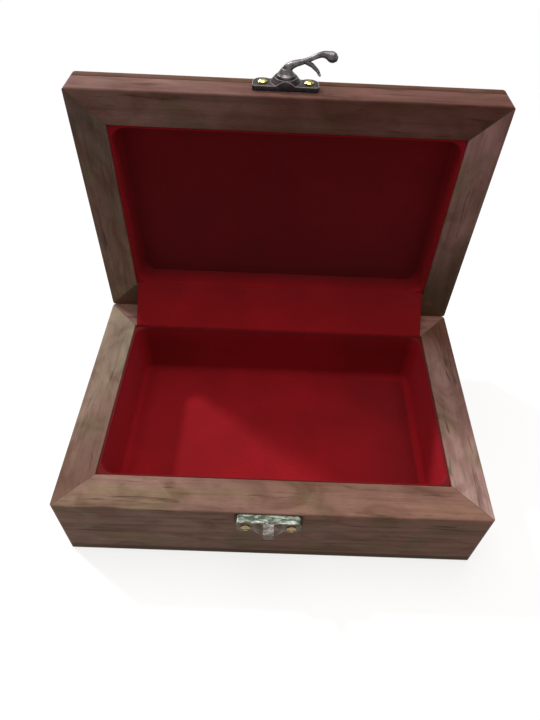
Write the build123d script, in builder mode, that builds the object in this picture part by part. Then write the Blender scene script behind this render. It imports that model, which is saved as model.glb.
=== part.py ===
from build123d import *
import os

# A small hardwood jewelry box with a hinged lid, shown with the lid standing open at a right
# angle. Mitred walls stand on a bottom board, and mitred rails carry the carved top board of
# the lid. Velvet lines both halves and crosses the hinge line as a taut web, which hides the
# two butt hinges and stops the lid. A swinging hook on the lid catches under a beak on the base.
# Millimetres. X runs to the right, Y to the back and Z up. The origin is the centre of the
# underside. A "frame" is the plane of one half's joints, with its outside along the normal.

# Wooden box
box_width = 203.0
box_depth = 132.0
base_height = 46.0
lid_height = 19.0
wall = 17.0
bottom_thickness = 6.0
lid_board_thickness = 6.0
rim_gap = 0.1
corner_radius = 2.0
rim_outer_radius = 1.0
rim_inner_radius = 0.6
foot_radius = 2.5
lid_top_radius = 1.6

# Velvet on card
lining_thickness = 1.2
lining_drop = 0.6
floor_pad_thickness = 3.0
lid_pad_thickness = 1.0
pad_edge_radius = 0.7
web_play = 0.07
web_margin = 0.8

# Carving of the lid
field_border = 22.0
field_depth = 1.6
field_corner = 9.0
petal_count = 8
petal_length = 12.5
petal_width = 7.0
petal_start = 5.5
eye_radius = 4.2
ring_radius = 20.5
ring_width = 1.8
side_leaf_count = 5
side_leaf_start = 24.5
side_leaf_length = 27.0
side_leaf_width = 8.0
side_leaf_turn = 34.0
corner_leaf_heading = 29.0
corner_leaf_length = 22.0
corner_leaf_width = 7.5

# Butt hinges
hinge_spacing = 100.0
hinge_length = 25.0
leaf_width = 8.0
leaf_thickness = 0.8
knuckle_radius = 1.5
knuckle_count = 3
knuckle_play = 0.2
pin_radius = 0.75
pin_end = 0.2
running_gap = 0.05
mortise_gap = 0.1
notch_gap = 0.25
hinge_screw_spacing = 16.0
hinge_screw_setback = 5.2
hinge_screw_radius = 0.7
hinge_screw_head_radius = 1.45
hinge_screw_head_height = 0.5
hinge_screw_length = 7.0
screw_sides = 8

# Latch and keeper castings
latch_x = -2.0
latch_setback = 4.6
keeper_drop = 1.3
plate_screw_spacing = 21.0
lobe_radius = 4.5
boss_radius = 7.0
boss_top_radius = 5.2
pivot_setback = 5.5
latch_plate_thickness = 2.6
keeper_thickness = 4.0
boss_height = 4.9
plate_hollow_radius = 1.5
plate_corner_radius = 1.2
keeper_mortise_depth = 0.5
keeper_mortise_margin = 0.8
beak_width = 4.8
beak_reach = 4.6
beak_leg = 1.5
beak_lip = 1.1
beak_drop = 5.0

# Hook and its rivet
foot_flange_radius = 4.1
foot_rim = 0.9
foot_gap = 0.1
bell_sections = [(1.7, 3.3), (3.4, 2.25)]
rivet_radius = 1.2
rivet_head_radius = 2.2
rivet_head_height = 0.9
rivet_depth = 2.0
rivet_recess_radius = 3.0
boss_wall = 1.5
arm_root_height = 6.9
arm_points = [
    (1.1, 8.9), (3.0, 10.2), (5.8, 11.1), (9.6, 12.4), (13.3, 14.2), (16.0, 15.0), (17.9, 14.75)
]
arm_radius = 0.95
arm_root_flare = 1.5
arm_end_flare = 0.8
arm_stations = 14
knob_sections = [(1.0, 2.2), (2.1, 2.4), (3.4, 2.1), (4.6, 1.1)]
tine_points = [(8.4, 11.7, 0), (10.9, 10.5, 0), (12.9, 9.0, 0.1), (14.5, 7.5, 1.1), (14.9, 7.1, 3.1)]
tine_sections = [(0.0, 1.15), (0.35, 1.0), (0.7, 0.8), (1.0, 0.6)]

# Round-head screws of the latch and keeper
screw_head_radius = 2.2
screw_head_height = 1.1
screw_head_edge = 0.4
screw_crown_radius = 1.2
screw_radius = 0.9
screw_length = 11.0
screw_slot = 0.6
screw_slot_depth = 0.5
screw_play = 0.1

# Values worked out from those above
wall_height = base_height - bottom_thickness
rail_height = lid_height - lid_board_thickness
cavity_width = box_width - 2 * wall
cavity_depth = box_depth - 2 * wall
hinge_y = box_depth / 2
hinge_z = base_height + rim_gap / 2
lid_front_z = hinge_z + box_depth
latch_y = hinge_y + rim_gap / 2 + latch_setback
pivot_y = latch_y + pivot_setback
sides = ("front", "back", "left", "right")
hinge_places = {"left": -hinge_spacing / 2, "right": hinge_spacing / 2}

base_frame = Plane.XY.offset(bottom_thickness)
lid_frame = Plane(
    origin=(0, hinge_y + rim_gap / 2, hinge_z + box_depth / 2),
    x_dir=(1, 0, 0),
    z_dir=(0, 1, 0),
)
keeper_frame = Plane(
    origin=(latch_x, -box_depth / 2, base_height - keeper_drop),
    x_dir=(1, 0, 0),
    z_dir=(0, -1, 0),
)
latch_frame = Plane(origin=(latch_x, latch_y, lid_front_z), x_dir=(-1, 0, 0), z_dir=(0, 0, 1))
hook_frame = Plane(origin=(latch_x, pivot_y, lid_front_z), x_dir=(1, 0, 0), z_dir=(0, -1, 0))
pivot_frame = Plane(origin=(latch_x, pivot_y, lid_front_z), x_dir=(1, 0, 0), z_dir=(0, 0, 1))

os.makedirs("parts", exist_ok=True)


def save(piece, name):
    """Label a finished piece with its name and write it as a STEP file."""
    piece.part.label = name
    export_step(piece.part, f"parts/{name}.step")


def wall_outline(side):
    """Mitred outline of one wall, seen square to its frame."""
    outer_x, outer_y = box_width / 2, box_depth / 2
    inner_x, inner_y = cavity_width / 2, cavity_depth / 2
    sign = -1 if side in ("front", "left") else 1
    if side in ("front", "back"):
        outer = [(-outer_x, sign * outer_y), (outer_x, sign * outer_y)]
        inner = [(inner_x, sign * inner_y), (-inner_x, sign * inner_y)]
    else:
        outer = [(sign * outer_x, -outer_y), (sign * outer_x, outer_y)]
        inner = [(sign * inner_x, inner_y), (sign * inner_x, -inner_y)]
    Polygon(*outer, *inner, align=None)


def lining_outline(side):
    """Outline of one lining strip. The side strips stand between the front and back ones."""
    sign = -1 if side in ("front", "left") else 1
    if side in ("front", "back"):
        with Locations((0, sign * (cavity_depth - lining_thickness) / 2)):
            Rectangle(cavity_width, lining_thickness)
    else:
        with Locations((sign * (cavity_width - lining_thickness) / 2, 0)):
            Rectangle(lining_thickness, cavity_depth - 2 * lining_thickness)


# Hinges

def hinge_seat(half, place):
    """Plane of a hinge on its pin, with Z out of the rim and Y away from the pin."""
    origin = (place, hinge_y, hinge_z)
    if half == "base":
        return Plane(origin=origin, x_dir=(-1, 0, 0), z_dir=(0, 0, 1))
    return Plane(origin=origin, x_dir=(1, 0, 0), z_dir=(0, -1, 0))


def along_pin(seat, start):
    """Plane square to the pin, a distance from the middle of the hinge."""
    return Plane(origin=seat.from_local_coords((start, 0, 0)), x_dir=seat.y_dir, z_dir=seat.x_dir)


def hinge_mortise(seat):
    """What is cut from a rim so that a leaf lies flush and the knuckles and screws have room."""
    notch_radius = knuckle_radius + notch_gap
    notch_length = hinge_length + 2 * (pin_end + notch_gap)
    with BuildPart() as mortise:
        with BuildSketch(seat.offset(-rim_gap / 2)):
            with Locations((0, (leaf_width + mortise_gap) / 2)):
                Rectangle(hinge_length + 2 * mortise_gap, leaf_width + mortise_gap)
        extrude(amount=-leaf_thickness)
        with BuildSketch(along_pin(seat, -notch_length / 2)):
            Circle(notch_radius)
        extrude(amount=notch_length)
        with Locations(seat.offset(-rim_gap / 2)):
            with Locations((0, hinge_screw_setback)):
                with GridLocations(hinge_screw_spacing, 0, 2, 1):
                    add(hinge_screw_hole.part)
    return mortise


def hinge_leaf(seat, knuckles):
    """One leaf of a butt hinge with its own knuckles, counted from the end of the pin."""
    pitch = hinge_length / knuckle_count
    knuckle_reach = knuckle_radius + notch_gap
    with BuildPart() as leaf:
        with BuildSketch(seat.offset(-rim_gap / 2)):
            with Locations((0, (leaf_width + knuckle_reach) / 2)):
                Rectangle(hinge_length, leaf_width - knuckle_reach)
            for knuckle in knuckles:
                with Locations(((knuckle + 0.5) * pitch - hinge_length / 2, leaf_width / 4)):
                    Rectangle(pitch - knuckle_play, leaf_width / 2)
        extrude(amount=-leaf_thickness)
        for knuckle in knuckles:
            start = knuckle * pitch - hinge_length / 2 + knuckle_play / 2
            with BuildSketch(along_pin(seat, start)):
                Circle(knuckle_radius)
            extrude(amount=pitch - knuckle_play)
        with BuildSketch(along_pin(seat, -hinge_length / 2)):
            Circle(pin_radius + running_gap)
        extrude(amount=hinge_length, mode=Mode.SUBTRACT)
        with Locations(seat.offset(-rim_gap / 2)):
            with Locations((0, hinge_screw_setback)):
                with GridLocations(hinge_screw_spacing, 0, 2, 1):
                    add(hinge_screw_hole.part, mode=Mode.SUBTRACT)
    return leaf


def hinge_pin(seat):
    """Hinge pin, a little longer than the barrel."""
    with BuildPart() as pin:
        with BuildSketch(along_pin(seat, -hinge_length / 2 - pin_end)):
            Circle(pin_radius)
        extrude(amount=hinge_length + 2 * pin_end)
    return pin


def hinge_screws(half):
    """The flush screws that hold the leaves of both hinges to one half."""
    with BuildPart() as screws:
        for place in hinge_places.values():
            with Locations(hinge_seat(half, place).offset(-rim_gap / 2)):
                with Locations((0, hinge_screw_setback)):
                    with GridLocations(hinge_screw_spacing, 0, 2, 1):
                        add(hinge_screw.part)
    return screws


# Castings and screws of the latch

def plate_pilots(frame, thickness):
    """Pilot holes in the wood for the two screws of a casting."""
    with BuildPart() as pilots:
        with BuildSketch(frame):
            with Locations((0, -lobe_radius)):
                with GridLocations(plate_screw_spacing, 0, 2, 1):
                    RegularPolygon(screw_radius + running_gap, screw_sides)
        extrude(amount=thickness - screw_length - screw_play)
    return pilots


def plate_casting(frame, thickness):
    """Body shared by the latch plate and the keeper: flat lobes for the screws, a domed boss in
    the middle and a straight wall along the edge that faces the other half."""
    with BuildPart() as casting:
        with BuildSketch(frame):
            add(plate_outline.sketch)
        extrude(amount=thickness)
        with BuildSketch(frame.offset(thickness)):
            with Locations((0, -pivot_setback)):
                Circle(boss_radius)
        with BuildSketch(frame.offset(boss_height)):
            with Locations((0, -pivot_setback)):
                Circle(boss_top_radius)
        loft()
        with BuildSketch(frame):
            with Locations((0, boss_radius)):
                Rectangle(4 * boss_radius, 2 * boss_radius)
        extrude(amount=boss_height, mode=Mode.SUBTRACT)
        with BuildSketch(frame):
            with Locations((0, -lobe_radius)):
                with GridLocations(plate_screw_spacing, 0, 2, 1):
                    Circle(screw_radius + screw_play)
        extrude(amount=thickness, mode=Mode.SUBTRACT)
    return casting


def plate_screws(frame, thickness):
    """The two round-head screws of a casting."""
    with BuildPart() as screws:
        with Locations(frame.offset(thickness)):
            with Locations((0, -lobe_radius)):
                with GridLocations(plate_screw_spacing, 0, 2, 1):
                    add(round_screw.part)
    return screws


# Shapes used more than once. The shanks of the screws have few sides, because the wood hides them

def flush_screw(gap):
    """Screw that lies flush, with its top at the origin, or with a gap the hole that it fills."""
    with BuildPart() as screw:
        with BuildSketch():
            RegularPolygon(hinge_screw_head_radius + gap, screw_sides)
        extrude(amount=-hinge_screw_head_height - gap)
        with BuildSketch():
            RegularPolygon(hinge_screw_radius + gap, screw_sides)
        extrude(amount=-hinge_screw_length - gap)
    return screw


hinge_screw = flush_screw(0)
hinge_screw_hole = flush_screw(running_gap)

with BuildPart() as round_screw:
    with BuildSketch(Plane.XZ):
        with BuildLine():
            Polyline(
                (0, 0),
                (screw_head_radius, 0),
                (screw_head_radius, screw_head_edge),
                (screw_crown_radius, screw_head_height),
                (0, screw_head_height),
                close=True,
            )
        make_face()
    revolve(axis=Axis.Z)
    with BuildSketch():
        RegularPolygon(screw_radius, screw_sides)
    extrude(amount=-screw_length)
    with BuildSketch(Plane.XY.offset(screw_head_height)):
        Rectangle(3 * screw_head_radius, screw_slot)
    extrude(amount=-screw_slot_depth, mode=Mode.SUBTRACT)

# Two screw lobes joined by a round middle, cut straight along the X axis
plate_length = plate_screw_spacing + 2 * lobe_radius
with BuildSketch() as plate_outline:
    with Locations((0, -lobe_radius / 2)):
        Rectangle(plate_length, lobe_radius)
    with Locations((0, -lobe_radius)):
        with GridLocations(plate_screw_spacing, 0, 2, 1):
            Circle(lobe_radius)
    with Locations((0, -pivot_setback)):
        Circle(boss_radius)
    with Locations((0, boss_radius)):
        Rectangle(4 * boss_radius, 2 * boss_radius, mode=Mode.SUBTRACT)
    hollows = plate_outline.vertices().filter_by(lambda corner: corner.Y < -1.05 * lobe_radius)
    fillet(hollows, plate_hollow_radius)
    fillet(plate_outline.vertices().group_by(Axis.Y)[-1], plate_corner_radius)


# Wooden base. The edges of both rims along the hinges stay sharp, so no light shows between them

with BuildPart() as bottom_board:
    with BuildSketch():
        Rectangle(box_width, box_depth)
    extrude(amount=bottom_thickness)
    fillet(bottom_board.faces().sort_by(Axis.Z)[0].edges(), foot_radius)
    with BuildSketch():
        RectangleRounded(box_width, box_depth, corner_radius)
    extrude(amount=bottom_thickness, mode=Mode.INTERSECT)
save(bottom_board, "bottom_board")

with BuildPart() as base_ring:
    with BuildSketch(base_frame):
        Rectangle(box_width, box_depth)
        Rectangle(cavity_width, cavity_depth, mode=Mode.SUBTRACT)
    extrude(amount=wall_height)
    rim_edges = base_ring.faces().sort_by(Axis.Z)[-1].outer_wire().edges()
    fillet(rim_edges.sort_by(Axis.Y)[:-1], rim_outer_radius)
    fillet(base_ring.faces().sort_by(Axis.Z)[-1].inner_wires()[0].edges(), rim_inner_radius)
    with BuildSketch(base_frame):
        RectangleRounded(box_width, box_depth, corner_radius)
    extrude(amount=wall_height, mode=Mode.INTERSECT)
    for place in hinge_places.values():
        add(hinge_mortise(hinge_seat("base", place)).part, mode=Mode.SUBTRACT)
    with BuildSketch(keeper_frame):
        with Locations((0, keeper_mortise_margin / 2)):
            Rectangle(
                plate_length + 2 * keeper_mortise_margin,
                pivot_setback + boss_radius + 1.5 * keeper_mortise_margin,
                align=(Align.CENTER, Align.MAX),
            )
    extrude(amount=-keeper_mortise_depth, mode=Mode.SUBTRACT)
    add(plate_pilots(keeper_frame, keeper_thickness).part, mode=Mode.SUBTRACT)

for side in sides:
    with BuildPart() as base_board:
        with BuildSketch(base_frame):
            wall_outline(side)
        extrude(amount=wall_height)
        add(base_ring.part, mode=Mode.INTERSECT)
    save(base_board, f"base_{side}_board")


# Wooden lid

with BuildPart() as lid_ring:
    with BuildSketch(lid_frame):
        Rectangle(box_width, box_depth)
        Rectangle(cavity_width, cavity_depth, mode=Mode.SUBTRACT)
    extrude(amount=rail_height)
    rim_edges = lid_ring.faces().sort_by(Axis.Y)[0].outer_wire().edges()
    fillet(rim_edges.sort_by(Axis.Z)[1:], rim_outer_radius)
    fillet(lid_ring.faces().sort_by(Axis.Y)[0].inner_wires()[0].edges(), rim_inner_radius)
    with BuildSketch(lid_frame):
        RectangleRounded(box_width, box_depth, corner_radius)
    extrude(amount=rail_height, mode=Mode.INTERSECT)
    for place in hinge_places.values():
        add(hinge_mortise(hinge_seat("lid", place)).part, mode=Mode.SUBTRACT)
    add(plate_pilots(latch_frame, latch_plate_thickness).part, mode=Mode.SUBTRACT)

for side in sides:
    with BuildPart() as lid_rail:
        with BuildSketch(lid_frame):
            wall_outline(side)
        extrude(amount=rail_height)
        add(lid_ring.part, mode=Mode.INTERSECT)
    save(lid_rail, f"lid_{side}_rail")


def carved_leaf(length, width):
    """Pointed leaf that grows from the origin along X."""
    with BuildSketch() as leaf:
        with BuildLine():
            ThreePointArc((0, 0), (length / 2, width / 2), (length, 0))
            ThreePointArc((length, 0), (length / 2, -width / 2), (0, 0))
        make_face()
    return leaf.sketch


def fan(x, heading):
    """Places of the leaves beside the flower, spread evenly about their heading."""
    first = heading - side_leaf_turn * (side_leaf_count - 1) / 2
    headings = [first + side_leaf_turn * number for number in range(side_leaf_count)]
    return [Location((x, 0, 0), (0, 0, turn)) for turn in headings]


# The ground of the field is cut away, and the flower and leaves stand level with the border
field_width = box_width - 2 * field_border
field_height = box_depth - 2 * field_border
corner_x = field_width / 2 - field_corner / 2
corner_y = field_height / 2 - field_corner / 2
petal = carved_leaf(petal_length, petal_width)
side_leaf = carved_leaf(side_leaf_length, side_leaf_width)
corner_leaf = carved_leaf(corner_leaf_length, corner_leaf_width)

with BuildPart() as lid_board:
    with BuildSketch(lid_frame.offset(rail_height)):
        Rectangle(box_width, box_depth)
    extrude(amount=lid_board_thickness)
    fillet(lid_board.faces().sort_by(Axis.Y)[-1].edges(), lid_top_radius)
    with BuildSketch(lid_frame.offset(rail_height)):
        RectangleRounded(box_width, box_depth, corner_radius)
    extrude(amount=lid_board_thickness, mode=Mode.INTERSECT)
    with BuildSketch(lid_frame.offset(lid_height)):
        Rectangle(field_width, field_height)
        with GridLocations(field_width, field_height, 2, 2):
            Circle(field_corner, mode=Mode.SUBTRACT)
        Circle(ring_radius, mode=Mode.SUBTRACT)
        Circle(ring_radius - ring_width)
        Circle(eye_radius, mode=Mode.SUBTRACT)
        with PolarLocations(petal_start, petal_count):
            add(petal, mode=Mode.SUBTRACT)
        for x_sign, heading in ((1, 0), (-1, 180)):
            with Locations(fan(x_sign * side_leaf_start, heading)):
                add(side_leaf, mode=Mode.SUBTRACT)
        for x_sign, y_sign in ((1, 1), (-1, 1), (-1, -1), (1, -1)):
            heading = x_sign * y_sign * corner_leaf_heading + (180 if x_sign > 0 else 0)
            with Locations(Location((x_sign * corner_x, y_sign * corner_y, 0), (0, 0, heading))):
                add(corner_leaf, mode=Mode.SUBTRACT)
    extrude(amount=-field_depth, mode=Mode.SUBTRACT)
save(lid_board, "lid_board")


# Velvet lining

for half, frame, start, height in (
    ("base", base_frame, 0, wall_height - lining_drop),
    ("lid", lid_frame, lining_drop, rail_height - lining_drop),
):
    for side in sides:
        with BuildPart() as lining:
            with BuildSketch(frame.offset(start)):
                lining_outline(side)
            extrude(amount=height)
        save(lining, f"{half}_lining_{side}")

with BuildPart() as base_floor_pad:
    with BuildSketch(base_frame):
        Rectangle(cavity_width - 2 * lining_thickness, cavity_depth - 2 * lining_thickness)
    extrude(amount=floor_pad_thickness)
    fillet(base_floor_pad.faces().sort_by(Axis.Z)[-1].edges(), pad_edge_radius)
save(base_floor_pad, "base_floor_pad")

with BuildPart() as lid_lining_pad:
    with BuildSketch(lid_frame.offset(rail_height)):
        Rectangle(cavity_width - 2 * lining_thickness, cavity_depth - 2 * lining_thickness)
    extrude(amount=-lid_pad_thickness)
    fillet(lid_lining_pad.faces().sort_by(Axis.Y)[0].edges(), pad_edge_radius)
save(lid_lining_pad, "lid_lining_pad")


def across_hinge(y, z):
    """The same place on the other half when the lid stands open."""
    return hinge_y + hinge_z - z, hinge_z + hinge_y - y


# The web stands on the edge of the back lining of the base, passes the rounded rims and ends
# on the edge of the back lining of the lid
web_thickness = (lining_thickness + rim_inner_radius * (1 - 2**0.5)) / 2**0.5 - web_play
web_front = (cavity_depth / 2 - lining_thickness, base_height - lining_drop)
web_back = (web_front[0] + web_thickness * 2**0.5, web_front[1])
with BuildPart() as hinge_web:
    with BuildSketch(Plane.YZ):
        Polygon(web_front, web_back, across_hinge(*web_back), across_hinge(*web_front), align=None)
    extrude(amount=cavity_width / 2 - web_margin, both=True)
save(hinge_web, "hinge_web")


# Hinges

for place_name, place in hinge_places.items():
    base_knuckles = range(0, knuckle_count, 2)
    lid_knuckles = range(1, knuckle_count, 2)
    save(hinge_leaf(hinge_seat("base", place), base_knuckles), f"hinge_base_leaf_{place_name}")
    save(hinge_leaf(hinge_seat("lid", place), lid_knuckles), f"hinge_lid_leaf_{place_name}")
    save(hinge_pin(hinge_seat("base", place)), f"hinge_pin_{place_name}")
save(hinge_screws("base"), "hinge_base_screws")
save(hinge_screws("lid"), "hinge_lid_screws")


# Latch on the lid

with BuildPart() as latch_plate:
    add(plate_casting(latch_frame, latch_plate_thickness).part)
    with BuildSketch(pivot_frame):
        Circle(rivet_recess_radius)
    extrude(amount=boss_height - boss_wall, mode=Mode.SUBTRACT)
    with BuildSketch(pivot_frame):
        Circle(rivet_radius + running_gap)
    extrude(amount=boss_height, mode=Mode.SUBTRACT)
save(latch_plate, "latch_plate")
save(plate_screws(latch_frame, latch_plate_thickness), "latch_screws")

# Height of the underside of the hook's foot, and of its blind hole for the rivet
foot_height = boss_height + foot_gap
rivet_top = foot_height + rivet_depth

with BuildPart() as latch_rivet:
    with BuildSketch(pivot_frame.offset(boss_height - boss_wall - foot_gap)):
        Circle(rivet_head_radius)
    extrude(amount=-rivet_head_height)
    with BuildSketch(pivot_frame.offset(boss_height - boss_wall - foot_gap)):
        Circle(rivet_radius)
    extrude(amount=rivet_top - running_gap - boss_height + boss_wall + foot_gap)
save(latch_rivet, "latch_rivet")

# The hook: a bell-shaped foot, an arm that rises and swings out to a knob, and a tine that leaves
# the arm, curves down to the plate and turns towards the way in which the hook closes
bell_top = foot_height + bell_sections[-1][0]
with BuildPart() as latch_hook:
    with BuildSketch(hook_frame):
        with BuildLine():
            Polyline(
                (0, foot_height),
                (foot_flange_radius, foot_height),
                (foot_flange_radius, foot_height + foot_rim),
                *[(radius, foot_height + height) for height, radius in bell_sections],
                (0, bell_top),
                close=True,
            )
        make_face()
    revolve(axis=Axis(hook_frame.origin, pivot_frame.z_dir))
    with BuildLine(hook_frame):
        arm = Spline((0, arm_root_height), *arm_points)
    for station in range(arm_stations + 1):
        share = station / arm_stations
        with BuildSketch(Plane(origin=arm @ share, x_dir=(0, 1, 0), z_dir=arm % share)):
            Circle(arm_radius + arm_root_flare * (1 - share) ** 3 + arm_end_flare * share**6)
    for place, radius in knob_sections:
        with BuildSketch(Plane(origin=arm @ 1 + arm % 1 * place, x_dir=(0, 1, 0), z_dir=arm % 1)):
            Circle(radius)
    loft(ruled=True)
    with BuildLine(hook_frame):
        tine = Spline(*tine_points)
    for share, radius in tine_sections:
        with BuildSketch(Plane(origin=tine @ share, x_dir=(0.6, 0, 0.8), z_dir=tine % share)):
            Circle(radius)
    loft(ruled=True)
    with BuildSketch(pivot_frame.offset(foot_height)):
        Circle(rivet_radius + running_gap)
    extrude(amount=rivet_depth, mode=Mode.SUBTRACT)
save(latch_hook, "latch_hook")


# Keeper on the base

beak_end = boss_height + beak_reach
beak_frame = Plane(origin=keeper_frame.origin, x_dir=keeper_frame.z_dir, z_dir=(-1, 0, 0))
with BuildPart() as keeper_plate:
    add(plate_casting(keeper_frame, keeper_thickness).part)
    with BuildSketch(keeper_frame):
        add(plate_outline.sketch)
        with Locations((0, -lobe_radius)):
            with GridLocations(plate_screw_spacing, 0, 2, 1):
                Circle(screw_radius + screw_play, mode=Mode.SUBTRACT)
    extrude(amount=-keeper_mortise_depth)
    with BuildSketch(beak_frame):
        Polygon(
            (0.5 * boss_height, 0),
            (beak_end, 0),
            (beak_end, -beak_drop),
            (beak_end - beak_lip, -beak_drop),
            (beak_end - beak_lip, -beak_leg),
            (0.5 * boss_height, -beak_leg),
            align=None,
        )
    extrude(amount=beak_width / 2, both=True)
    lip_corners = keeper_plate.edges().filter_by(Axis.Y).group_by(Axis.Y)[0]
    fillet(lip_corners.group_by(Axis.Z)[0], 0.48 * beak_width)
save(keeper_plate, "keeper_plate")
save(plate_screws(keeper_frame, keeper_thickness), "keeper_screws")
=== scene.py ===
"""Finishes the frame of a small carved jewelry box in oiled wood, velvet and cast metal.

The lid stands open at a right angle. X runs to the right, Y to the back and Z up. Sizes are in
millimetres, and MM turns them into metres. Only the settings in the sidebar hold metres.
"""

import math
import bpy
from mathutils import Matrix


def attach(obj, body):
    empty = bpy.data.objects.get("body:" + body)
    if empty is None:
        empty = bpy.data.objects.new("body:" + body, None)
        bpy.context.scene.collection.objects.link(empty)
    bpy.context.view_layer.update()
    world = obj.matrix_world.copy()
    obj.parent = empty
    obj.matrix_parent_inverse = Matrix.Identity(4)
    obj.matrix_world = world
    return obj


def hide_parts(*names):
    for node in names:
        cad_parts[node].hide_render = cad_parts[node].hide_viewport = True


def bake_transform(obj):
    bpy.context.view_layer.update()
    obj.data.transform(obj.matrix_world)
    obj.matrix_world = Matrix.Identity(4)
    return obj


bl_info = {
    "name": "Carved Jewelry Box",
    "version": (1, 0, 0),
    "blender": (4, 5, 0),
    "location": "3D View > Sidebar > Jewelry Box",
    "description": "Oiled wood, red velvet, carving and cast metal for a small hinged box",
    "category": "Object",
}

import bmesh
import bpy
from mathutils import Matrix, Vector, noise

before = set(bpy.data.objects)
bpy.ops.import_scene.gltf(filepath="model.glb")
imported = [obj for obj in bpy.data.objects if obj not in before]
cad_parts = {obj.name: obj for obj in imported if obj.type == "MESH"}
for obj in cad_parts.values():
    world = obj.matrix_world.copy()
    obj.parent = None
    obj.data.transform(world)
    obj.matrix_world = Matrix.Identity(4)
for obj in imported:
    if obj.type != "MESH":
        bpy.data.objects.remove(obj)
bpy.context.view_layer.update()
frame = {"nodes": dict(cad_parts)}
nodes = frame["nodes"]

MM = 0.001

# Sizes of the box that the pieces are fitted to. Heights are above the table, and in the open
# lid LID_RIM, LID_JOINT and LID_TOP are distances to the back
BOX_WIDTH = 203.0
BOX_DEPTH = 132.0
WALL = 17.0
CAVITY_X = BOX_WIDTH / 2 - WALL
CAVITY_Y = BOX_DEPTH / 2 - WALL
LINING = 1.2
FLOOR = 6.0
RIM = 46.0
HINGE_Z = 46.05
LID_RIM = 66.05
LID_MIDDLE = HINGE_Z + BOX_DEPTH / 2
LID_JOINT = 79.05
LID_TOP = 85.05
LINING_DROP = 0.6
FLOOR_PAD = 3.0
LID_PAD = 1.0
LID_CROWN = 0.4
KEEPER_THICKNESS = 4.0

# Each board has its grain direction, the place in the tree that it was cut from, and its
# colour at the start and at the end of that direction
BASE_BOARDS = {
    "base_front_board": ("X", (170, 82, 207), ("#765d52", "#705448")),
    "base_back_board": ("X", (326, 303, 36), ("#785651", "#7e5b50")),
    "base_left_board": ("Y", (83, 12, 101), ("#634940", "#807465")),
    "base_right_board": ("Y", (96, 140, 87), ("#8e746e", "#56392f")),
}
# Besides the wood's own colour, the lid's tones are darkened as painted shade, so the lid's
# rails come out darker than the base
LID_RAILS = {
    "lid_front_rail": ("X", (267, 37, 62), ("#6a504a", "#563731")),
    "lid_back_rail": ("X", (150, 88, 70), ("#5c4539", "#573c31")),
    "lid_left_rail": ("Z", (78, 92, 15), ("#766153", "#5b4d47")),
    "lid_right_rail": ("Z", (222, 35, 294), ("#4c3d31", "#8e6e6a")),
}

# The figure of the wood, with grey-green spots of fungus in it: the size of each pattern along
# and across the grain, and the detail, roughness, distortion and lacunarity of its noise
FIGURE = {
    "streak": (70, 3.2, 4, 0.6, 0.6, 2.0),
    "fibre": (16, 0.45, 3, 0.6, 0, 2.0),
    "cloud": (90, 24, 2, 0.5, 0.4, 2.0),
    "mottle": (30, 15, 3, 0.5, 1.6, 2.0),
    "fungus": (34, 19, 2, 0.5, 1.0, 2.3),
    "mineral": (48, 4.2, 3, 0.5, 1.5, 2.0),
    "pore": (4.5, 0.35, 1, 0.5, 0, 2.0),
}
# The patterns that darken the wood: where each begins and is full, and its strength there
DARK_FIGURE = {
    "streak": (0.45, 0.75, 0.3),
    "fibre": (0.45, 0.8, 0.2),
    "mineral": (0.6, 0.74, 0.7),
    "pore": (0.66, 0.74, 0.35),
}
# A ring texture draws one ring to this much of a unit, and the rings of a sawn board are this
# many times as long as they are wide
RING_UNIT = 0.314
RING_LENGTH = 11


def linear(colour):
    """Turns an sRGB hex colour into the linear values that the shaders take."""
    values = [int(colour[start : start + 2], 16) / 255 for start in (1, 3, 5)]
    return [v / 12.92 if v <= 0.04045 else ((v + 0.055) / 1.055) ** 2.4 for v in values]


def colour_property(name, description, colour):
    """A colour that the sidebar shows, with an sRGB hex value as its default."""
    return bpy.props.FloatVectorProperty(
        name=name, description=description, subtype="COLOR", size=3, min=0, max=1,
        default=linear(colour),
    )


class WoodSettings(bpy.types.PropertyGroup):
    ruddy: colour_property("Ruddy figure", "Reddish growth of the oiled wood", "#69402f")
    dark: colour_property("Dark streak", "Mineral streaks and late growth", "#2c1811")
    ring_width: bpy.props.FloatProperty(
        name="Ring width", description="Width of one year's growth", default=0.0075,
        min=0.001, unit="LENGTH",
    )
    mottle: bpy.props.FloatProperty(
        name="Mottle", description="Strength of the soft clouds in the figure",
        default=0.24, min=0, max=1, subtype="FACTOR",
    )


class VelvetSettings(bpy.types.PropertyGroup):
    pile: colour_property("Pile", "Red velvet with its pile upright", "#760b12")
    brushed: colour_property("Brushed pile", "Red velvet where the pile lies over", "#860e16")
    floor_crown: bpy.props.FloatProperty(
        name="Floor crown", description="How far the floor pad swells in its middle",
        default=0.0008, min=0, unit="LENGTH",
    )
    corner_radius: bpy.props.FloatProperty(
        name="Corner radius", description="Radius to which the cloth rounds the corners",
        default=0.007, min=0.002, unit="LENGTH",
    )


class CarvingSettings(bpy.types.PropertyGroup):
    depth: bpy.props.FloatProperty(
        name="Ground depth", description="Depth of the cut ground below the face",
        default=0.0016, min=0.0002, unit="LENGTH",
    )
    cell: bpy.props.FloatProperty(
        name="Mesh cell", description="Distance between the points of the carved face",
        default=0.0006, min=0.0003, unit="LENGTH",
    )


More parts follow.
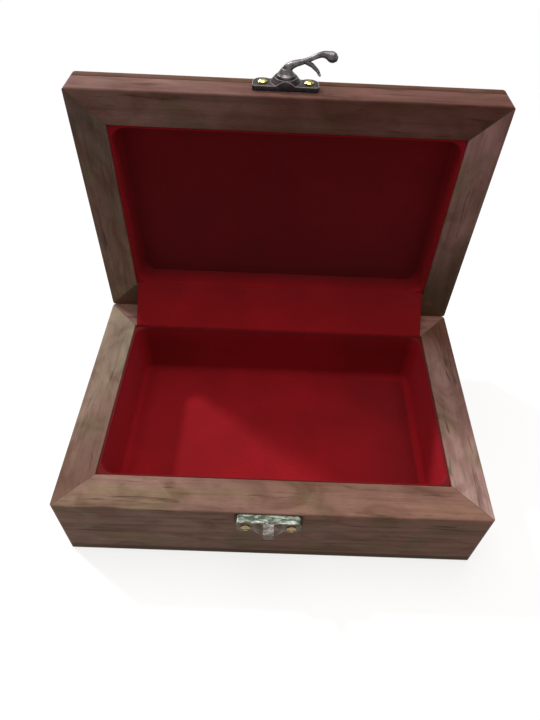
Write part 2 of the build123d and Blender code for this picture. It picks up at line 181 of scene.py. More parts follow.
class MetalSettings(bpy.types.PropertyGroup):
    bronze: colour_property("Bronze finish", "Antique finish of the castings", "#3e3536")
    pewter: colour_property("Hook finish", "Darkened pewter tone of the hook", "#6e6a6b")
    keeper: colour_property("Keeper finish", "Browner finish of the keeper", "#614d3d")
    # The rubbed and worn colours also serve as painted light: a painted highlight on edges,
    # and the bright top of the keeper
    rubbed: colour_property("Rubbed edges", "Bare zinc where the finish is worn", "#bdb6b3")
    worn: colour_property("Worn top", "Greenish bare zinc on top of the keeper", "#888e83")
    brass: colour_property("Brass", "Lacquered brass of the screws", "#aca565")
    dull: colour_property("Dull brass", "Brass of the keeper's screws, worn brown", "#a18c68")
    hinge: colour_property("Hinge brass", "Dull plated brass of the hinges", "#a68a55")


class StageSettings(bpy.types.PropertyGroup):
    floor: colour_property("Floor", "Pale floor under the box", "#f2f1ef")
    dome: bpy.props.FloatProperty(
        name="Dome", description="Strength of the light from all round", default=0.42, min=0,
    )
    overhead: bpy.props.FloatProperty(
        name="Overhead lamp", description="Power of the large soft lamp above the box",
        default=12.0, min=0, unit="POWER",
    )
    side: bpy.props.FloatProperty(
        name="Side light", description="Strength of the light from behind on the left",
        default=2.3, min=0,
    )


def add_node(tree, kind, inputs=(), stops=(), **settings):
    """Adds one node with its settings, and links or sets the inputs that are given.

    A node given for an input stands for its first output in use, and text for a hex colour.
    """
    node = tree.nodes.new("ShaderNode" + kind)
    for name, value in settings.items():
        setattr(node, name, value)
    for socket, value in dict(inputs).items():
        if isinstance(value, str):
            value = linear(value)
        elif isinstance(value, bpy.types.Node):
            value = next(output for output in value.outputs if output.enabled)
        if isinstance(value, bpy.types.NodeSocket):
            tree.links.new(value, node.inputs[socket])
        elif node.inputs[socket].type == "RGBA" and len(value) == 3:
            node.inputs[socket].default_value = [*value, 1]
        else:
            node.inputs[socket].default_value = value
    for number, (position, value) in enumerate(stops):
        ramp = node.color_ramp
        stop = ramp.elements[number] if number < 2 else ramp.elements.new(position)
        stop.position = position
        stop.color = (value, value, value, 1)
    return node


def new_material(name):
    """A material with an empty tree, and the object's own coordinates in that tree."""
    material = bpy.data.materials.new(name)
    material.use_nodes = True
    tree = material.node_tree
    tree.nodes.clear()
    return material, tree, add_node(tree, "TexCoord").outputs["Object"]


def placed(name, data):
    """A new object in the scene, with what it is made of."""
    thing = bpy.data.objects.new(name, data)
    bpy.context.scene.collection.objects.link(thing)
    return thing


def finish_with(piece, material):
    """Puts one material on all of a piece."""
    piece.data.materials.clear()
    piece.data.materials.append(material)


def stained(tree, colour, stain, pattern, low, high, end=1.0, start=0.0, soft=False):
    """Lays a stain over a colour where a pattern asks for it.

    Its strength goes from start, where the pattern is low, to end, where it is high.
    """
    amount = add_node(tree, "MapRange", {
        "Value": pattern, "From Min": low, "From Max": high, "To Min": start, "To Max": end,
    }, interpolation_type="SMOOTHSTEP" if soft else "LINEAR")
    return add_node(tree, "Mix", {
        "Factor": amount, "A": colour, "B": stain,
    }, data_type="RGBA")


def worn_and_lit_edges(tree, radius):
    """A mask that is one on outer edges, which hands rub and which carry a painted highlight,
    and zero on flat faces.
    """
    same = add_node(tree, "VectorMath", {
        0: add_node(tree, "Bevel", {"Radius": radius}, samples=6),
        1: add_node(tree, "NewGeometry").outputs["Normal"],
    }, operation="DOT_PRODUCT")
    return add_node(tree, "MapRange", {"Value": same, "From Min": 0.99, "From Max": 0.86})


def oiled_wood(board, grain, offset, tones, settings, seam, carved=None):
    """Sheesham, sawn, sanded and oiled.

    Growth rings run as long wavering streaks along each board, with short dark pores in them
    and a few mineral streaks, so mitres show by their figure. The oil leaves a satin surface.
    """
    material, tree, where = new_material(f"Oiled sheesham, {board}")

    def stretch(along, across):
        """Values of a mapping whose unit is so many millimetres along and across the grain."""
        sizes = [along if letter == grain else across for letter in "XYZ"]
        return {
            "Vector": where, "Location": [o / s for o, s in zip(offset, sizes)],
            "Scale": [1 / (s * MM) for s in sizes],
        }

    ring = settings.ring_width / MM / RING_UNIT
    rings = add_node(tree, "TexWave", {
        "Vector": add_node(tree, "Mapping", stretch(ring * RING_LENGTH, ring)), "Scale": 1,
        "Distortion": 9, "Detail": 3, "Detail Scale": 0.9, "Detail Roughness": 0.55,
    }, wave_type="RINGS", rings_direction=grain, wave_profile="SAW")
    late = add_node(tree, "ValToRGB", {"Fac": rings.outputs["Fac"]}, stops=(
        (0.0, 0.3), (1.0, 0.5), (0.45, 0.0), (0.85, 0.75),
    ))
    drawn = {}
    for key, (along, across, detail, rough, distortion, lacunarity) in FIGURE.items():
        drawn[key] = add_node(tree, "TexNoise", {
            "Vector": add_node(tree, "Mapping", stretch(along, across)), "Scale": 1,
            "Detail": detail, "Roughness": rough, "Distortion": distortion,
            "Lacunarity": lacunarity,
        })

    # The two tones run into each other along the board in clouds
    half = (BOX_WIDTH if grain == "X" else BOX_DEPTH) / 2
    middle = LID_MIDDLE if grain == "Z" else 0
    place = add_node(tree, "MapRange", {
        "Value": add_node(tree, "SeparateXYZ", {0: where}).outputs[grain],
        "From Min": (middle - half) * MM, "From Max": (middle + half) * MM,
        "To Min": -0.62, "To Max": 0.38,
    })
    place = add_node(tree, "Math", {0: place, 1: drawn["cloud"]}, operation="ADD")
    colour = stained(tree, *tones, place, 0, 0.76, soft=True)
    colour = stained(
        tree, colour, settings.ruddy, drawn["mottle"], 0.48, 0.72, settings.mottle * 1.3,
        soft=True,
    )
    shimmer = add_node(tree, "MapRange", {
        "Value": drawn["mottle"], "From Min": 0.3, "From Max": 0.7,
        "To Min": 1.05 + settings.mottle, "To Max": 1.05 - settings.mottle,
    })
    colour = add_node(tree, "VectorMath", {0: colour, "Scale": shimmer}, operation="SCALE")
    greyer = stained(tree, "#fffafa", "#edf8e4", drawn["fungus"], 0.48, 0.66, soft=True)
    colour = add_node(tree, "VectorMath", {0: colour, 1: greyer}, operation="MULTIPLY")
    colour = stained(tree, colour, settings.dark, late, 0, 1, 0.24)
    for key, values in DARK_FIGURE.items():
        colour = stained(tree, colour, settings.dark, drawn[key], *values, soft=True)
    # Hands have worn the oil and the stain off the edges, and the lighter edges are also a
    # painted highlight on their rounding
    colour = stained(tree, colour, "#8a6956", worn_and_lit_edges(tree, 0.9 * MM), 0, 1, 0.35)

    # Dark glue line where boards meet
    middle, mitre, joint = seam
    beside = add_node(tree, "VectorMath", {
        0: where, 1: [m * MM for m in middle],
    }, operation="SUBTRACT")
    beside = add_node(tree, "VectorMath", {0: beside}, operation="ABSOLUTE")
    gap = add_node(tree, "VectorMath", {0: beside, 1: joint}, operation="DOT_PRODUCT")
    if mitre:
        skew = add_node(tree, "VectorMath", {0: beside, 1: mitre}, operation="DOT_PRODUCT")
        skew = add_node(tree, "Math", {
            0: skew, 1: (BOX_WIDTH - BOX_DEPTH) / 2 * MM,
        }, operation="SUBTRACT")
        skew = add_node(tree, "Math", {0: skew}, operation="ABSOLUTE")
        gap = add_node(tree, "Math", {0: gap, 1: skew}, operation="MINIMUM")
    colour = stained(tree, colour, "#1c110e", gap, 0.08 * MM, 0.34 * MM, start=0.62, end=0)

    height = add_node(tree, "Mix", {
        "Factor": 0.5, "A": drawn["fibre"], "B": drawn["streak"],
    }, data_type="FLOAT")
    cut = add_node(tree, "MapRange", {
        "Value": drawn["pore"], "From Min": 0.66, "From Max": 0.74, "To Max": 0.8,
    })
    height = add_node(tree, "Math", {0: height, 1: cut}, operation="SUBTRACT")
    bump = add_node(tree, "Bump", {"Height": height, "Strength": 0.35, "Distance": 0.08 * MM})

    if carved:
        # Stain gathers in the cut ground, which is punched all over with a round tool, and a
        # little less of it on the sides of the board
        (top, deep), rounding = carved, 2.5
        level = add_node(tree, "SeparateXYZ", {0: where}).outputs["Y"]
        apart = add_node(tree, "SeparateXYZ", {0: beside}).outputs
        inside = [
            add_node(tree, "Math", {
                0: apart[axis], 1: (size / 2 - rounding) * MM,
            }, operation="LESS_THAN")
            for axis, size in (("X", BOX_WIDTH), ("Z", BOX_DEPTH))
        ]
        on_face = add_node(tree, "Math", {0: inside[0], 1: inside[1]}, operation="MULTIPLY")
        sunk = add_node(tree, "MapRange", {
            "Value": level, "From Min": top - deep, "From Max": top - 0.15 * MM,
            "To Min": 0.62, "To Max": 0,
        })
        less = add_node(tree, "MapRange", {"Value": on_face, "To Min": 0.8})
        sunk = add_node(tree, "Math", {0: sunk, 1: less}, operation="MULTIPLY")
        colour = stained(tree, colour, "#1f120e", sunk, 0, 1)
        dimple = add_node(tree, "TexVoronoi", {"Vector": where, "Scale": 1 / (1.3 * MM)})
        ground = add_node(tree, "MapRange", {
            "Value": level, "From Min": top - deep + 0.1 * MM,
            "From Max": top - deep + 0.3 * MM, "To Min": 1, "To Max": 0,
        })
        for share in (ground, on_face):
            dimple = add_node(tree, "Math", {0: dimple, 1: share}, operation="MULTIPLY")
        bump = add_node(tree, "Bump", {
            "Height": dimple, "Strength": 0.9, "Distance": 0.35 * MM, "Normal": bump,
        })

    roughness = add_node(tree, "MapRange", {
        "Value": drawn["streak"], "To Min": 0.5, "To Max": 0.7,
    })
    # Little shine, because the white room lays a grey veil on dark wood
    add_node(tree, "OutputMaterial", {"Surface": add_node(tree, "BsdfPrincipled", {
        "Base Color": colour, "Roughness": roughness, "IOR": 1.5, "Normal": bump,
        "Specular IOR Level": 0.06,
    })})
    return material


def red_velvet(part, settings, sides=0.0, painted_shade=None):
    """Rayon velvet, woven with a short cut pile.

    The pile lies over in soft patches, so the red turns lighter and darker, and it glows at
    the edges where the cloth turns away. One tuft is drawn three times as coarse as it is,
    because the real 0.15 mm would not show.
    """
    material, tree, where = new_material(f"Red rayon velvet, {part}")
    patch = add_node(tree, "TexNoise", {
        "Vector": where, "Scale": 1 / (34 * MM), "Detail": 2, "Roughness": 0.45,
        "Distortion": 0.3,
    })
    tuft = add_node(tree, "TexNoise", {
        "Vector": where, "Scale": 1 / (0.45 * MM), "Detail": 2, "Roughness": 0.7,
    })
    colour = stained(tree, settings.pile, settings.brushed, patch, 0.25, 0.8, soft=True)
    if sides:
        # Painted light: the strips at the left and right, which face sideways, are painted
        # lighter
        painted_light_facing = add_node(tree, "NewGeometry").outputs["Normal"]
        painted_light_facing = add_node(tree, "SeparateXYZ", {0: painted_light_facing}).outputs["X"]
        painted_light_facing = add_node(tree, "Math", {0: painted_light_facing}, operation="ABSOLUTE")
        colour = stained(tree, colour, "#b01a26", painted_light_facing, 0.2, 0.9, sides)
    colour = stained(tree, colour, "#3a0408", tuft, 0.35, 0.65, start=0.3, end=0)
    if painted_shade:
        # Painted shade: the velvet is darkened towards one edge, where less light reaches it
        axis, clear, full, shade = painted_shade
        across = add_node(tree, "SeparateXYZ", {0: where}).outputs[axis]
        colour = stained(tree, colour, "#2b1012", across, clear * MM, full * MM, shade)
    bump = add_node(tree, "Bump", {"Height": tuft, "Strength": 0.5, "Distance": 0.25 * MM})
    add_node(tree, "OutputMaterial", {"Surface": add_node(tree, "BsdfPrincipled", {
        "Base Color": colour, "Roughness": 0.9, "IOR": 1.5, "Specular IOR Level": 0.12,
        "Sheen Weight": 0.25, "Sheen Roughness": 0.4, "Sheen Tint": "#e0454f",
        "Normal": bump,
    })})
    return material


def antique_bronze(name, settings, finish=None, roughness=0.42, wear=1.0, silvered_and_lit=False):
    """Die-cast zinc with a dark antique bronze finish, rubbed back after dipping.

    Edges and high spots show bright zinc, and on the edges this is also a painted highlight.
    On the keeper the faces that look up are painted bright as well, as painted light. Dark
    patches of the finish go nearly black, and the skin of the casting is faintly pitted.
    """
    material, tree, where = new_material(name)
    skin = add_node(tree, "TexNoise", {
        "Vector": where, "Scale": 1 / (0.8 * MM), "Detail": 4, "Roughness": 0.65,
    })
    tarnish = add_node(tree, "TexNoise", {
        "Vector": where, "Scale": 1 / (3.5 * MM), "Detail": 3, "Roughness": 0.6,
    })
    colour = stained(tree, finish or settings.bronze, "#262122", tarnish, 0.35, 0.7)
    patchy = add_node(tree, "MapRange", {
        "Value": skin, "From Min": 0.3, "From Max": 0.6, "To Min": wear * 0.5, "To Max": wear,
    })
    bare = add_node(tree, "Math", {
        0: worn_and_lit_edges(tree, 0.6 * MM), 1: patchy,
    }, operation="MULTIPLY")
    metal = settings.rubbed
    if silvered_and_lit:
        # The upper face has lost its finish in streaks, less so on the beak than on the plate
        # behind it, and its brightness is partly painted light
        streaks = add_node(tree, "TexNoise", {
            "Vector": add_node(tree, "Mapping", {
                "Vector": where, "Scale": [1 / (size * MM) for size in (4.6, 1.4, 1.4)],
            }), "Scale": 1, "Detail": 3, "Roughness": 0.62, "Distortion": 0.7,
        })
        plate, beak = (
            stained(tree, dark, light, streaks, 0.44, 0.68)
            for dark, light in (("#343a32", settings.worn), ("#3b3836", "#716c69"))
        )
        depth = add_node(tree, "SeparateXYZ", {0: where}).outputs["Y"]
        behind = -(BOX_DEPTH / 2 + KEEPER_THICKNESS) * MM
        before = behind - 0.2 * MM
        metal = stained(tree, beak, plate, depth, before, behind)
        share = add_node(tree, "MapRange", {
            "Value": depth, "From Min": before, "From Max": behind,
            "To Min": 0.85, "To Max": 0.95,
        })
        # Painted light: faces that look up are painted with the bright bare zinc
        painted_light_facing = add_node(tree, "NewGeometry").outputs["Normal"]
        lit_from_above = add_node(tree, "MapRange", {
            "Value": add_node(tree, "SeparateXYZ", {0: painted_light_facing}).outputs["Z"],
            "From Min": 0.6, "From Max": 0.8,
        })
        lit_from_above = add_node(tree, "Math", {0: lit_from_above, 1: share}, operation="MULTIPLY")
        bare = add_node(tree, "Math", {0: bare, 1: lit_from_above}, operation="MAXIMUM")
    # Worn edges and the keeper's top take the bare zinc, which is partly painted highlight and
    # painted light
    colour = stained(tree, colour, metal, bare, 0, 1)
    bump = add_node(tree, "Bump", {"Height": skin, "Strength": 0.4, "Distance": 0.12 * MM})
    rough = add_node(tree, "MapRange", {
        "Value": tarnish, "To Min": roughness - 0.08, "To Max": roughness + 0.12,
    })
    add_node(tree, "OutputMaterial", {"Surface": add_node(tree, "BsdfPrincipled", {
        "Base Color": colour, "Metallic": 1.0, "Roughness": rough, "Normal": bump,
    })})
    return material


def turned_brass(name, colour, roughness):
    """Brass, turned or stamped and then lacquered.

    It gives a warm yellow shine, with brown tarnish in spots where the lacquer has gone, and
    painted shade in the slots and round the edges of the heads.
    """
    material, tree, where = new_material(name)
    spots = add_node(tree, "TexNoise", {
        "Vector": where, "Scale": 1 / (0.9 * MM), "Detail": 4, "Roughness": 0.65,
    })
    # Painted shade: the slots and the feet of the heads are darkened where ambient occlusion
    # finds them
    hidden = add_node(tree, "AmbientOcclusion", {"Distance": 0.8 * MM}, samples=8)
    shine = stained(tree, colour, "#5b4020", spots, 0.45, 0.72, 0.7)
    shine = stained(tree, shine, "#1d140c", hidden.outputs["AO"], 0.35, 0.8, start=0.85, end=0)
    rough = add_node(tree, "MapRange", {
        "Value": spots, "To Min": roughness - 0.06, "To Max": roughness + 0.15,
    })
    bump = add_node(tree, "Bump", {"Height": spots, "Strength": 0.25, "Distance": 0.06 * MM})
    add_node(tree, "OutputMaterial", {"Surface": add_node(tree, "BsdfPrincipled", {
        "Base Color": shine, "Metallic": 1.0, "Roughness": rough, "Normal": bump,
    })})
    return material


def join_rows(mesh, rows, closed=False):
    """Fills the quads between neighbouring rows of points, all round where they are closed."""
    for lower, upper in zip(rows, rows[1:]):
        for number in range(len(lower) - (not closed)):
            after = (number + 1) % len(lower)
            mesh.faces.new((lower[number], lower[after], upper[after], upper[number]))


def border(rows):
    """The points round the border of a grid, in order."""
    right, left = [row[-1] for row in rows[:-1]], [row[0] for row in rows[:0:-1]]
    return rows[0][:-1] + right + rows[-1][:0:-1] + left


def stations(half, near, inner, cells):
    """Places from -half to half: near ones at both ends, and even cells between."""
    left = [distance - half for distance in near]
    middle = [inner * (2 * number / cells - 1) for number in range(cells + 1)]
    return left + middle + [-x for x in reversed(left)]


def rounded_off(inset, radius):
    """How far a rounded edge lies below the face, so far in from the border."""
    return radius - math.sqrt(max(radius**2 - (radius - inset) ** 2, 0))


def uneven(spot, *waves):
    """How uneven the cloth is at a spot, from soft waves of a length and a height each."""
    return sum(noise.noise(spot / length) * height for length, height in waves)


def mesh_piece(name, mesh, body, material, hidden):
    """Makes a smooth piece that rides on a body and stands for the nodes that it hides."""
    bmesh.ops.recalc_face_normals(mesh, faces=mesh.faces)
    data = bpy.data.meshes.new(name)
    mesh.to_mesh(data)
    mesh.free()
    data.shade_smooth()
    piece = placed(name, data)
    finish_with(piece, material)
    if body:
        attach(piece, body)
    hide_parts(*hidden)
    return piece


def in_base(x, across, rise):
    """A place in the base: to the right, to the back, and up from the floor board."""
    return Vector((x, across, FLOOR + rise)) * MM


def in_lid(x, across, rise):
    """A place in the lid: to the right, up, and forward from the top board."""
    return Vector((x, LID_JOINT - rise, LID_MIDDLE + across)) * MM


def rounded_path(half_width, half_height, radius):
    """Points round a rectangle with rounded corners, the same number for every radius."""
    corner_steps, side_steps = 7, (38, 22, 38, 22)
    corners = []
    for turn, (x_sign, y_sign) in enumerate(((1, 1), (-1, 1), (-1, -1), (1, -1))):
        corner = []
        for step in range(corner_steps + 1):
            angle = math.radians(90) * (turn + step / corner_steps)
            corner.append((
                x_sign * (half_width - radius) + radius * math.cos(angle),
                y_sign * (half_height - radius) + radius * math.sin(angle),
            ))
        corners.append(corner)
    points = []
    for corner, after, steps in zip(corners, corners[1:] + corners[:1], side_steps):
        (x, y), (x_end, y_end) = corner[-1], after[0]
        points += corner + [
            (x + (x_end - x) * step / steps, y + (y_end - y) * step / steps)
            for step in range(1, steps)
        ]
    return points


# How far the velvet stands off the wood at the foot of a wall
CLOTH = 1.42
# The cloth from the wood over the folded edge and down: each pair is how far it stands off the
# wood, and its height as a share of the wall's
FOLD = (
    (0.05, 0.0), (0.05, 0.5), (0.05, 0.985), (0.25, 0.997), (0.65, 1.0), (1.0, 0.996),
    (1.2, 0.985), (1.28, 0.96), (1.38, 0.8), (CLOTH, 0.65),
)


def velvet_wall(
    name, place, height, floor, cove, corner_radius, hinge_side, body, material, hidden
):
    """Velvet over card round the walls of one half, with soft corners and a folded edge.

    At its foot the cloth runs out in a cove over the pad, which lies at the height floor.
    """
    cove_steps, hem, tuck = 7, 0.8, 0.5
    section = list(FOLD)
    for step in range(1, cove_steps + 1):
        angle = math.radians(90) * step / cove_steps
        section.append((
            CLOTH + cove * (1 - math.cos(angle)),
            (floor + cove * (1 - math.sin(angle))) / height,
        ))
    section += [(CLOTH + cove + hem, (floor - tuck) / height), (CLOTH + cove, 0.0)]

    # The wood is nearly sharp in the corners, the cloth rounds them, and the cove less again.
    # On the hinge side there is hardly a cove, because the web starts there
    wood_radius, least_radius, tighter = 0.3, 1.5, 0.6
    hinge_strip, hinge_cove = cove + 2.5, cove * 0.15
    mesh = bmesh.new()
    rows = []
    for off, share in section:
        radius = wood_radius + (corner_radius - wood_radius) * min(off / LINING, 1)
        radius = max(radius - max(off - CLOTH, 0) * tighter, least_radius)
        row = []
        for x, across in rounded_path(CAVITY_X - off, CAVITY_Y - off, radius):
            if across * hinge_side > CAVITY_Y - hinge_strip:
                across = hinge_side * (abs(across) + max(off - CLOTH - hinge_cove, 0))
            # The face of the cloth is uneven, and so is the edge of its fold
            if off > LINING + 0.05:
                spot = Vector((x, across, share * height))
                swell = 1 - uneven(spot, (21, 0.16), (7, 0.05)) / math.hypot(x, across)
                x, across = x * swell, across * swell
            lift = uneven(Vector((x, across, 0)), (16, 0.18)) if share > 0.9 else 0
            row.append(mesh.verts.new(place(x, across, share * height - abs(lift))))
        rows.append(row)
    join_rows(mesh, rows + rows[:1], closed=True)
    piece = mesh_piece(name, mesh, body, material, hidden)


def velvet_pad(name, place, half_width, half_height, thickness, crown, body, material, hidden):
    """A thin pad: flat where it lies on its board, rounded at the edge, a little crowned."""
    edge = min(thickness * 0.6, 1.7)
    rim, cell, tuck = 2.5, 3.2, 0.25
    near = [edge * 1.2 * part for part in (0, 0.06, 0.22, 0.5, 1.0)]
    columns, lines = (
        stations(half, near, half - rim, 2 * round((half - rim) / cell))
        for half in (half_width, half_height)
    )
    mesh = bmesh.new()
    tops, bottoms = [], []
    for across in lines:
        top_row, bottom_row = [], []
        for x in columns:
            u, v = abs(x) / half_width, abs(across) / half_height
            inset = min(half_width - abs(x), half_height - abs(across), edge)
            soft = uneven(Vector((x, across, 3.0)), (30, 0.3), (11, 0.08))
            rise = thickness - rounded_off(inset, edge)
            rise += crown * ((1 - u**4) * (1 - v**4) + soft * min(inset / edge, 1))
            # The sides pull in a little between the corners
            pull = tuck * (1 - min(u, v) ** 2)
            spot = (
                x * (1 - pull / half_width * (u > 0.97)),
                across * (1 - pull / half_height * (v > 0.97)),
            )
            top_row.append(mesh.verts.new(place(*spot, rise)))
            bottom_row.append(mesh.verts.new(place(*spot, 0)))
        tops.append(top_row)
        bottoms.append(bottom_row)
    join_rows(mesh, tops)
    join_rows(mesh, bottoms)
    join_rows(mesh, [border(tops), border(bottoms)], closed=True)
    piece = mesh_piece(name, mesh, body, material, hidden)


def velvet_web(name, material):
    """The strip of velvet that is stretched from the base to the lid across the hinges."""
    near = Vector((0, CAVITY_Y - LINING, RIM - LINING_DROP))
    far = Vector((0, LID_RIM + LINING_DROP, LID_MIDDLE - CAVITY_Y + LINING))
    half_width = CAVITY_X - 0.8
    hem, hem_width, sag, sink = 0.35, 1.6, 0.3, 0.45
    across_steps, length_steps = 84, 12
    length = (far - near).length
    along = (far - near).normalized()
    outward = Vector((0, -along.z, along.y))
    mesh = bmesh.new()
    rows = []
    for step in range(length_steps + 1):
        share = step / length_steps
        taut = math.sin(math.pi * share)
        row = []
        for number in range(across_steps + 1):
            x = half_width * (2 * number / across_steps - 1)
            # Pull lines run from edge to edge, and die out where the cloth is glued
            pulls = uneven(Vector((x, share * length * 0.35, 0)), (9, 0.22), (3.1, 0.05))
            edge = hem * math.exp((abs(x) - half_width) / hem_width)
            point = near + along * (share * length)
            point += outward * ((pulls - sag) * taut + edge - sink)
            point.x = x
            row.append(mesh.verts.new(point * MM))
        rows.append(row)
    join_rows(mesh, rows)
    piece = mesh_piece(name, mesh, None, material, ["hinge_web"])
    cloth = piece.modifiers.new("Cloth thickness", "SOLIDIFY")
    cloth.thickness = 0.45 * MM
    cloth.offset = 0
    shaped = piece.evaluated_get(bpy.context.evaluated_depsgraph_get())
    thick = bpy.data.meshes.new_from_object(shaped)
    piece.modifiers.clear()
    piece.data = thick
    thick.shade_smooth()
    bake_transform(piece)


# The carving, from the middle of the board: the sunk field with its cut-out corners
FIELD_X, FIELD_Y, FIELD_CORNER = 79.5, 44.0, 9.0
# Two cut lines, the first so far out from the field and the second so far in from the edge
LINE_OUT, LINE_IN, LINE_HALF, LINE_DEPTH = 2.6, 6.0, 0.7, 0.55
# A row of almond chips between the lines, so far in from the edge, and the stars at its ends
CHIP_ROW, CHIP_PITCH, CHIP_GAP, CHIP_WIDTH, CHIP_DEPTH = 12.2, 9.5, 0.5, 3.8, 0.95
ROW_END, STAR, STAR_DEPTH = 5, 4.4, 0.8
# The carved ring with its slanting notches
RING_OUTSIDE, RING, RING_HALF, RING_LOW = 21.5, 19.6, 1.5, 0.12
NOTCH, NOTCHES, NOTCH_SLANT = 0.22, 18, 40
# The hatched dome in the middle of its flower
DOME, DOME_FALL, HATCH, HATCHING = 5.0, 0.45, 0.16, 2.6
# Depth of a leaf's rib and veins, and the veins' distance and slant
RIB, VEIN, VEIN_PITCH, VEIN_SLANT = 0.4, 0.2, 3.4, 0.85
# Leaves and petals: foot in X and Y, turn in degrees, length and width
LEAVES = [
    (side * 24.5, 0.0, (0 if side > 0 else 180) + turn, 27.0, 8.0)
    for side in (1, -1)
    for turn in (-68, -34, 0, 34, 68)
] + [
    (x * 75.0, y * 39.5, x * y * 29.0 + (180 if x > 0 else 0), 22.0, 7.5)
    for x in (1, -1)
    for y in (1, -1)
]
PETALS = [
    (5.5 * math.cos(math.radians(turn)), 5.5 * math.sin(math.radians(turn)), turn, 12.5, 7.0)
    for turn in range(0, 360, 45)
]


def smooth(low, high, value):
    """Rises smoothly from 0 at low to 1 at high."""
    share = min(max((value - low) / (high - low), 0), 1)
    return share * share * (3 - 2 * share)


def leaf_half_width(along, length, width):
    """Half the width of a pointed leaf at a place along it."""
    radius = (length**2 + width**2) / (4 * width)
    return math.sqrt(max(radius**2 - (along - length / 2) ** 2, 0)) - radius + width / 2


def on_leaf(leaf, x, y):
    """A place on a leaf or petal: along it, beside its middle, and half its width there."""
    turn = math.radians(leaf[2])
    from_x, from_y = x - leaf[0], y - leaf[1]
    along = from_x * math.cos(turn) + from_y * math.sin(turn)
    aside = abs(from_y * math.cos(turn) - from_x * math.sin(turn))
    return along, aside, leaf_half_width(along, leaf[3], leaf[4])


def border_depth(x, y, from_field):
    """How deep the lines and the chips of the border are at a place outside the field."""
    from_edge = min(BOX_WIDTH / 2 - abs(x), BOX_DEPTH / 2 - abs(y))
    from_line = min(abs(from_field - LINE_OUT), abs(from_edge - LINE_IN))
    depth = max(0, 1 - from_line / LINE_HALF) * LINE_DEPTH
    row_x, row_y = BOX_WIDTH / 2 - CHIP_ROW, BOX_DEPTH / 2 - CHIP_ROW
    for run, aside, end in (
        (x, abs(abs(y) - row_y), row_x - ROW_END), (y, abs(abs(x) - row_x), row_y - ROW_END),
    ):
        if aside < CHIP_WIDTH / 2 and abs(run) < end:
            pitch = 2 * end / round(2 * end / CHIP_PITCH)
            along = (run + end) % pitch
            half = leaf_half_width(along - CHIP_GAP, pitch - 2 * CHIP_GAP, CHIP_WIDTH)
            if CHIP_GAP < along < pitch - CHIP_GAP and half > 0.05:
                chip = CHIP_DEPTH * max(0, 1 - aside / half) * half / (CHIP_WIDTH / 2)
                depth = max(depth, chip)
    # A star of four cuts round a point stands in each corner
    from_star = math.hypot(abs(x) - row_x, abs(y) - row_y)
    if from_star < STAR:
        turn = math.atan2(abs(y) - row_y, abs(x) - row_x)
        cuts = STAR_DEPTH * smooth(STAR, 3.0, from_star) * math.sin(2 * turn) ** 2
        depth = max(depth, cuts, 0.5 * smooth(1.3, 0.4, from_star))
    return depth


def flower_depth(x, y, from_middle, ground):
    """How deep the ring, its flower and the ground between them are."""
    depth = ground
    from_ring = abs(from_middle - RING)
    if from_ring < RING_HALF:
        turn = math.atan2(y, x) * NOTCHES + math.radians(from_middle * NOTCH_SLANT)
        notched = RING_LOW + NOTCH * math.sin(turn) ** 4
        depth = min(depth, notched + (ground - RING_LOW) * smooth(0.55, 1.15, from_ring))
    if from_middle < DOME:
        hatch = HATCH * max(abs(math.sin(x * HATCHING)), abs(math.sin(y * HATCHING))) ** 8
        dome = 0.1 + DOME_FALL * (from_middle / 4.2) ** 2 + hatch
        depth = min(depth, dome + (ground - 0.55) * smooth(4.0, 4.6, from_middle))
    for petal in PETALS:
        along, aside, half = on_leaf(petal, x, y)
        inside = half - aside
        if 0 < along < petal[3] and inside > -0.3:
            spoon = 0.15 + 0.75 * smooth(0.3, 2.4, inside) * smooth(0, 4, along)
            depth = min(depth, spoon + (ground - 0.15) * smooth(0.3, -0.3, inside))
    return depth


def carved_depth(x, y, ground):
    """How far the carver has cut below the face at a place on the lid."""
    in_field = min(
        FIELD_X - abs(x), FIELD_Y - abs(y),
        math.hypot(abs(x) - FIELD_X, abs(y) - FIELD_Y) - FIELD_CORNER,
    )
    if in_field <= 0:
        return border_depth(x, y, -in_field)
    depth = ground * smooth(0, 0.9, in_field)
    from_middle = math.hypot(x, y)
    if from_middle < RING_OUTSIDE:
        return flower_depth(x, y, from_middle, ground)
    for leaf in LEAVES:
        along, aside, half = on_leaf(leaf, x, y)
        inside = half - aside
        if -0.3 < along < leaf[3] + 0.3 and inside > -0.4:
            rib = RIB * smooth(0.55, 0.1, aside) * smooth(leaf[3], leaf[3] - 5, along)
            vein = math.sin(math.pi * (along - VEIN_SLANT * aside) / VEIN_PITCH) ** 10
            vein *= VEIN * smooth(0.1, 0.8, inside) * smooth(0.3, 0.8, aside)
            curve = 0.08 + 0.5 * (1 - smooth(0, half + 0.01, inside)) * smooth(0, 1.5, half)
            edge = (ground - 0.1) * smooth(0.35, -0.35, inside)
            depth = min(depth, curve + rib + vein + edge)
    return depth


